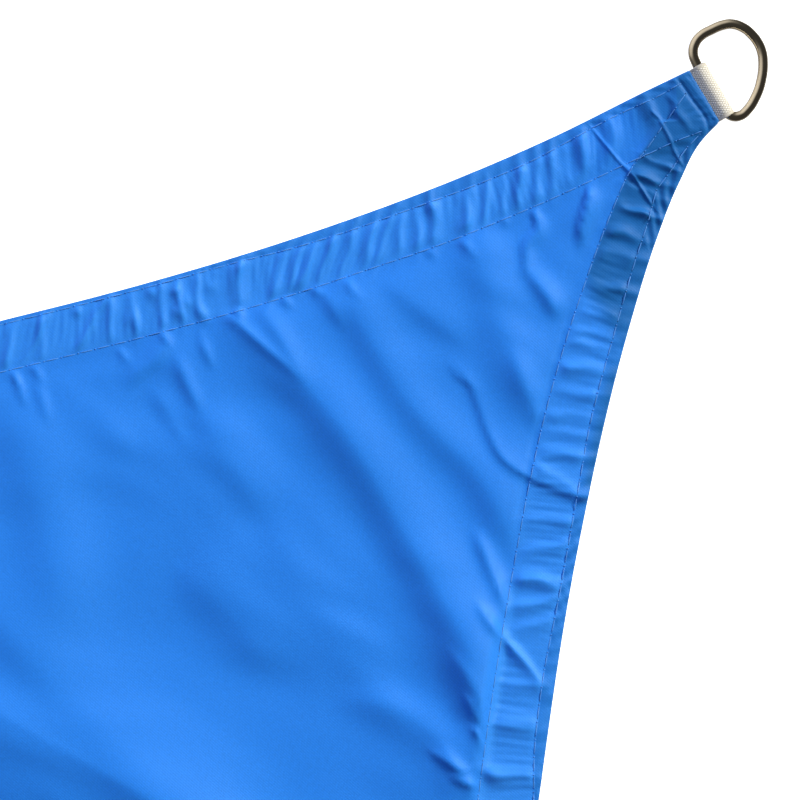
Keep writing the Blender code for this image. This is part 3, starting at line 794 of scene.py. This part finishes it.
# The cloth's colour: painted shade, deeper on each hem near its last corner, on the corners, along the edges
# and outside the outer row; painted light, paler on the hems; and a little uneven all over. Both painted
# tints are values at its points.
# Painted shade, in millimetres: how far it reaches along a hem from its last corner, how that slants and
# softens, how far the corner's painted shade reaches from a side's first corner, and the width of a dark line
# painted along the edge.
PAINTED_SHADE_END_INNER = 81
PAINTED_SHADE_END_SLOPE = 0.87
PAINTED_SHADE_SOFTNESS = 13
CORNER_SHADE_END = 31
EDGE_SHADE_WIDTH = 2.6


def points_of(mesh):
    """The places of a mesh's points."""
    return np.array([tuple(vert.co) for vert in mesh.vertices])


places, distances = edge_distances(points_of(mesh)[:, :2])
deep, pale = np.zeros((2, len(mesh.vertices)))
for along, distance in zip(places / MM, distances / MM):
    inside = smooth_value(INNER_ROW, along * MM) / MM - distance
    past_row = smooth_value(OUTER_ROW, along * MM) / MM - distance
    in_hem = soft_step(inside / 1.6 + 0.5)
    from_last = CORNER_PITCH / MM - along
    painted_shade_end = PAINTED_SHADE_END_INNER + PAINTED_SHADE_END_SLOPE * np.clip(inside, 0, 25)
    band = EDGE_SHADE_WIDTH * soft_step((from_last - 96) / 25) * soft_step((172 - from_last) / 30)
    # Painted shade: the hem near its last corner, the strip outside the outer row, the corner, the very edge,
    # and a line along the edge.
    for share in (
        in_hem * soft_step((painted_shade_end - from_last) / PAINTED_SHADE_SOFTNESS + 0.5),
        0.35 * soft_step(past_row / 1.2 + 0.3),
        0.75 * soft_step((CORNER_SHADE_END - along) / 9 + 0.5) * (distance < 30),
        0.8 * soft_step((0.9 - distance) / 0.7),
        soft_step((band - distance) / 0.9),
    ):
        deep = np.maximum(deep, share)
    # Painted light: the hems paler from 45 mm past a side's first corner and on a stretch before its last
    # one.
    top_painted_light = 0.75 * soft_step((along - 45) / 30)
    low_painted_light = soft_step((from_last - 150) / 50) * soft_step((500 - from_last) / 100)
    pale = np.maximum(pale, in_hem * np.maximum(top_painted_light, low_painted_light))
mesh.attributes.new("deep", "FLOAT", "POINT").data.foreach_set("value", deep)
mesh.attributes.new("pale", "FLOAT", "POINT").data.foreach_set("value", pale * (1 - deep))

YARN_PITCH = 0.0009
cloth, tree, shader = new_paint("azure_coated_cloth")
place = (add_node(tree, "TexCoord"), "Object")
painted_shade_share = add_node(tree, "Attribute", [("attribute_name", "deep")])
painted_light_share = add_node(tree, "Attribute", [("attribute_name", "pale")])
blotches = add_node(tree, "TexNoise", Scale=9.0, Detail=4.0, Roughness=0.55, Vector=place)
grain = add_node(tree, "TexNoise", Scale=900.0, Detail=2.0, Roughness=0.6, Vector=place)
wear = add_node(tree, "TexNoise", Scale=55.0, Detail=5.0, Roughness=0.6, Vector=place)
colour = mixed(tree, (blotches, "Fac"), (0.0100, 0.182, 0.71, 1), (0.0130, 0.201, 0.77, 1))
# Painted light: a paler blue on the hems.
colour = mixed(tree, (painted_light_share, "Fac"), colour, (0.022, 0.226, 0.79, 1))
# Painted shade: a deeper blue where the corners, the hems near them and the edges are shaded.
colour = mixed(tree, (painted_shade_share, "Fac"), colour, (0.0035, 0.122, 0.42, 1))
grey = add_node(tree, "MapRange", To_Min=0.87, To_Max=1.13, Value=(grain, "Fac"))
colour = mixed(tree, 1.0, colour, (grey, "Result"), "MULTIPLY")
feed(shader, "Base Color", colour)
rough = add_node(tree, "MapRange", To_Min=0.52, To_Max=0.66, Value=(wear, "Fac"))
feed(shader, "Roughness", (rough, "Result"))
feed(shader, "Sheen Weight", 0.08)
feed(shader, "Specular IOR Level", 0.26)
yarn_turn = add_node(tree, "Mapping", Rotation=(0, 0, math.radians(45)), Vector=place)
woven = add_node(tree, "Math", [("operation", "MULTIPLY")])
for socket, direction in enumerate(("X", "Y")):
    yarn = add_node(
        tree, "TexWave", [("bands_direction", direction)], Vector=(yarn_turn, "Vector"),
        Scale=math.pi / (10 * YARN_PITCH), Distortion=0.6, Detail=1.0, Detail_Scale=3.0)
    feed(woven, socket, (yarn, "Fac"))
bump = add_node(tree, "Bump", Strength=0.3, Distance=0.00012, Height=(woven, "Value"))
bump = add_node(tree, "Bump", Strength=0.35, Distance=0.0006, Height=(wear, "Fac"), Normal=(bump, "Normal"))
feed(shader, "Normal", (bump, "Normal"))
sail.data.materials.append(cloth)
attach(sail, "root")
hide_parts("sail_cloth")


# Stitches: lockstitch in polyester thread of the cloth's own colour, two rows along each hem, which cross at
# a corner and run on to its end. A stitch is a flattened bead of thread with a small knot at its hole.
STITCH_PITCH = 0.0072
STITCH_LENGTH = 0.0056
THREAD = 0.00048
KNOT = 0.0006
ROW_SAMPLES = 6000
HEM_BEGINS = 34
# The two rows, and how each runs on into its first and last corner: along and down from the end's middle.
SEWN_ROWS = (
    (OUTER_ROW, ((20, -0.6), (13, -3.9), (8.4, -6.3)), ((15.3, 29), (10.4, 22.3), (2.9, 15.4))),
    (INNER_ROW, ((28.1, 23.6), (15, 18.3), (-0.5, 13.6)), ((28.1, 23.6), (7.5, -1.7))),
)


def small_form(model):
    """The points and faces of a model that isn't kept itself."""
    places, faces = points_of(model.data), [list(polygon.vertices) for polygon in model.data.polygons]
    bpy.ops.object.delete()
    return places, faces


bpy.ops.mesh.primitive_uv_sphere_add(segments=6, ring_count=4, radius=0.5, rotation=(0, math.pi / 2, 0))
bpy.context.active_object.scale = (THREAD * 0.8, THREAD, STITCH_LENGTH)
bpy.ops.object.transform_apply(location=False)
bead = small_form(bpy.context.active_object)
bpy.ops.mesh.primitive_ico_sphere_add(subdivisions=1, radius=KNOT / 2)
knot = small_form(bpy.context.active_object)


def thread_material(name, colour, roughness, painted_highlight_colour=None):
    """Twisted polyester thread: slanting strands over an uneven colour, with a painted highlight on its
    raised weave when a highlight colour is given.
    """
    paint, tree, shader = new_paint(name)
    place = (add_node(tree, "TexCoord"), "Object")
    spots = add_node(tree, "TexNoise", Scale=260.0, Detail=3.0, Vector=place)
    darker = tuple(value * 0.72 for value in colour)
    body = mixed(tree, (spots, "Fac"), (*darker, 1), (*colour, 1))
    if painted_highlight_colour:
        raised = add_node(tree, "Attribute", [("attribute_name", "raised")])
        body = mixed(tree, (raised, "Fac"), body, (*painted_highlight_colour, 1))
    feed(shader, "Base Color", body)
    rough = add_node(tree, "MapRange", To_Min=roughness - 0.08, To_Max=roughness + 0.1, Value=(spots, "Fac"))
    feed(shader, "Roughness", (rough, "Result"))
    strands = add_node(
        tree, "TexWave", [("bands_direction", "DIAGONAL")], Scale=700, Distortion=1, Vector=place)
    bump = add_node(tree, "Bump", Strength=0.3, Distance=0.0001, Height=(strands, "Fac"))
    feed(shader, "Normal", (bump, "Normal"))
    return paint


thread_paint = thread_material("azure_thread", (0.075, 0.29, 0.79), 0.5)


def corner_points(number, rows):
    """Points given along and down from the middle of a corner's end, in the sail's own places."""
    return turned(HALF_PITCH - np.array(rows, float) * MM, number - 1)


def sewn_row(number, row, first_end, last_end):
    """The two ends of each stitch of a row."""
    along = np.linspace(HEM_BEGINS * MM, CORNER_PITCH - HEM_BEGINS * MM, ROW_SAMPLES)
    line = np.vstack([
        corner_points(number, first_end)[::-1],
        side_points(number, along, smooth_value(row, along)),
        corner_points(number % CORNERS + 1, last_end),
    ])
    travelled = np.concatenate([[0], np.cumsum(np.hypot(*np.diff(line, axis=0).T))])
    count = int(travelled[-1] // STITCH_PITCH)
    middles = (np.arange(count) + 0.5) * travelled[-1] / count
    return [
        np.column_stack([np.interp(middles + shift, travelled, line[:, axis]) for axis in (0, 1)])
        for shift in (-STITCH_LENGTH / 2, STITCH_LENGTH / 2)
    ]


verts, faces = [], []
for number in SIDES:
    for row, first_end, last_end in SEWN_ROWS:
        starts, ends = sewn_row(number, row, first_end, last_end)
        low, high = surface_height(starts), surface_height(ends)
        crown = surface_height((starts + ends) / 2)
        for start, end, start_height, end_height, middle_height in zip(starts, ends, low, high, crown):
            run = np.array((*(end - start), end_height - start_height))
            ahead = run / np.linalg.norm(run)
            aside = np.cross((0, 0, 1), ahead)
            aside /= np.linalg.norm(aside)
            up = np.cross(ahead, aside)
            height = max(middle_height, (start_height + end_height) / 2)
            centre = np.array((*(start + end) / 2, height + THREAD * 0.16))
            hole = np.array((*end, end_height)) + ahead * KNOT * 0.9 + np.array((0, 0, KNOT * 0.25))
            for (form_places, form_faces), middle in ((bead, centre), (knot, hole)):
                first = len(verts)
                verts.extend((middle + form_places @ np.array((ahead, aside, up))).tolist())
                faces.extend([[first + index for index in face] for face in form_faces])
stitches_mesh = bpy.data.meshes.new("hem_stitches")
stitches_mesh.from_pydata(verts, [], faces)
stitches_mesh.materials.append(thread_paint)
stitches_mesh.shade_smooth()
stitches = bpy.data.objects.new("hem_stitches", stitches_mesh)
scene.collection.objects.link(stitches)
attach(stitches, "root")


# Webbing loops: 25 mm woven polyester webbing, off-white, laid round the ring's bar and sewn into the cloth's
# corner. The band is a grid bent round the bar, with the staggered dots of its weave between plain selvedges,
# given its thickness, made once and copied to each corner.
BAR_OUT = 0.0037
WIRE = 0.0041
WEBBING_THICKNESS = 0.0010
DOT_ROWS = 0.00085
DOT_PITCH = 0.00108
DOT_RISE = 0.00015
SELVEDGE = 0.0013
TAIL_INSIDE = 0.0009
TAIL_RISE = 0.00075
WEBBING_CELL = 0.0002

loop_radius = WIRE / 2 + 0.0003 + WEBBING_THICKNESS / 2
tail_end = Vector((-BAR_OUT - TAIL_INSIDE, TAIL_RISE))
leave_angle = math.atan2(tail_end.y, tail_end.x) - math.acos(loop_radius / tail_end.length)
tail_length = math.sqrt(tail_end.length_squared - loop_radius**2)
band_length = 2 * (leave_angle * loop_radius + tail_length)

# The webbing's darker base colour is painted shade between the weave's dots, and its paler colour is their
# painted highlight.
webbing_paint = thread_material("off_white_webbing", (0.50, 0.455, 0.39), 0.7, (0.86, 0.84, 0.81))


def end_matrix(number):
    """From a corner end's own frame, with X outwards and Y along the end, to the world."""
    turn = Matrix.Rotation((number - 1) * math.tau / CORNERS, 4, "Z")
    middle = Matrix.Translation((HALF_PITCH, HALF_PITCH, 0))
    return turn @ middle @ Matrix.Rotation(END_HEADING, 4, "Z")


def copy_placed(model, name, place):
    """A copy of a finished model with its own mesh, put in its place."""
    mesh = model.data.copy()
    mesh.name = name
    mesh.transform(place)
    piece = bpy.data.objects.new(name, mesh)
    scene.collection.objects.link(piece)
    return piece


bpy.ops.mesh.primitive_grid_add(
    x_subdivisions=round(band_length / WEBBING_CELL), y_subdivisions=round(END_WIDTH / WEBBING_CELL), size=1)
model = bpy.context.active_object
band_width = END_WIDTH - WEBBING_THICKNESS * 0.4
dot_highlights = []
for vert in model.data.vertices:
    travel, aside = vert.co.x * band_length, vert.co.y * band_width
    angle = max(-leave_angle, min(leave_angle, travel / loop_radius))
    straight = travel - angle * loop_radius
    inward = band_width / 2 - abs(aside)
    dots = math.cos(math.pi * travel / DOT_ROWS) * math.cos(math.tau * aside / DOT_PITCH)
    cords = 0.35 * math.cos(math.tau * inward / (SELVEDGE / 2))
    woven = DOT_RISE * (dots if inward > SELVEDGE else cords)
    # Painted highlight: each point's share of the paler colour, high on the raised dots, low on the
    # selvedges.
    dot_highlights.append(max(0.0, dots) ** 1.5 if inward > SELVEDGE else 0.15)
    reach = loop_radius + woven
    vert.co = (
        BAR_OUT + reach * math.cos(angle) - straight * math.sin(angle),
        aside,
        LOOP_OUTER + reach * math.sin(angle) + straight * math.cos(angle),
    )
model.data.attributes.new("raised", "FLOAT", "POINT").data.foreach_set("value", dot_highlights)
thicken = model.modifiers.new("thickness", "SOLIDIFY")
thicken.thickness = WEBBING_THICKNESS
thicken.offset = 0
thicken.use_even_offset = False
bpy.ops.object.modifier_apply(modifier=thicken.name)
bpy.ops.object.shade_smooth()
model.data.materials.append(webbing_paint)
for number in SIDES:
    band = copy_placed(model, f"webbing_band_{number}", end_matrix(number))
    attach(band, "root")
    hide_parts(f"webbing_loop_{number}")
bpy.ops.object.delete()


# D-rings: 4 mm stainless wire bent to a lopsided D, butt-welded and polished. The webbing holds the bar up,
# and the bow slopes to the surface. The wire is a round bevel along one closed curve through the table's
# points.
RING = (
    # out, left
    (0, -4), (0.3, -9), (1.6, -12.6), (4.6, -14.3), (8.4, -13.8), (14.2, -10.8), (19.4, -6.3),
    (24.1, 0.2), (25.7, 4.2), (26.15, 8), (25.6, 12.1), (24.2, 15.9), (20.8, 19.8), (17.4, 21.3),
    (12.4, 22), (7.2, 22), (3.6, 20.5), (1, 17.6), (0, 13.8), (0, 5),
)
RING_REACH = 26.1 * MM
ring_slope = math.asin((LOOP_OUTER - WIRE / 2) / RING_REACH)

bpy.ops.curve.primitive_bezier_circle_add(radius=0.015)
model = bpy.context.active_object
bpy.ops.object.mode_set(mode="EDIT")
bpy.ops.curve.select_all(action="SELECT")
bpy.ops.curve.subdivide(number_cuts=len(RING) // 4 - 1)
bpy.ops.object.mode_set(mode="OBJECT")
for point, (out, left) in zip(model.data.splines[0].bezier_points, RING):
    point.co = (out * MM, left * MM, 0)
bpy.ops.object.mode_set(mode="EDIT")
bpy.ops.curve.select_all(action="SELECT")
bpy.ops.curve.handle_type_set(type="AUTOMATIC")
bpy.ops.object.mode_set(mode="OBJECT")
model.data.dimensions = "3D"
model.data.resolution_u = 8
model.data.bevel_depth = WIRE / 2
model.data.bevel_resolution = 10
bpy.ops.object.convert(target="MESH")
bpy.ops.object.shade_smooth()

steel, tree, shader = new_paint("polished_steel")
place = (add_node(tree, "TexCoord"), "Object")
smears = add_node(tree, "TexNoise", Scale=120.0, Detail=4.0, Vector=place)
scratches = add_node(tree, "TexNoise", Scale=1500.0, Detail=3.0, Roughness=0.7, Vector=place)
body = mixed(tree, (smears, "Fac"), (0.62, 0.52, 0.37, 1), (0.76, 0.65, 0.49, 1))
feed(shader, "Base Color", body)
feed(shader, "Metallic", 1)
polish = add_node(tree, "MapRange", To_Min=0.07, To_Max=0.16, Value=(smears, "Fac"))
feed(shader, "Roughness", (polish, "Result"))
bump = add_node(tree, "Bump", Strength=0.12, Distance=0.00005, Height=(scratches, "Fac"))
feed(shader, "Normal", (bump, "Normal"))
model.data.materials.append(steel)
lean = Matrix.Translation((BAR_OUT, 0, LOOP_OUTER)) @ Matrix.Rotation(ring_slope, 4, "Y")
rings = []
for number in SIDES:
    ring = copy_placed(model, f"ring_wire_{number}", end_matrix(number) @ lean)
    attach(ring, "root")
    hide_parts(f"d_ring_{number}")
    rings.append(ring)
bpy.ops.object.delete()

# The rings mirror the room only: the key light leaves them out.
polished = bpy.data.collections.new("kept_from_key")
for ring in rings:
    polished.objects.link(ring)
for member in polished.collection_objects:
    member.light_linking.link_state = "EXCLUDE"
key.light_linking.receiver_collection = polished
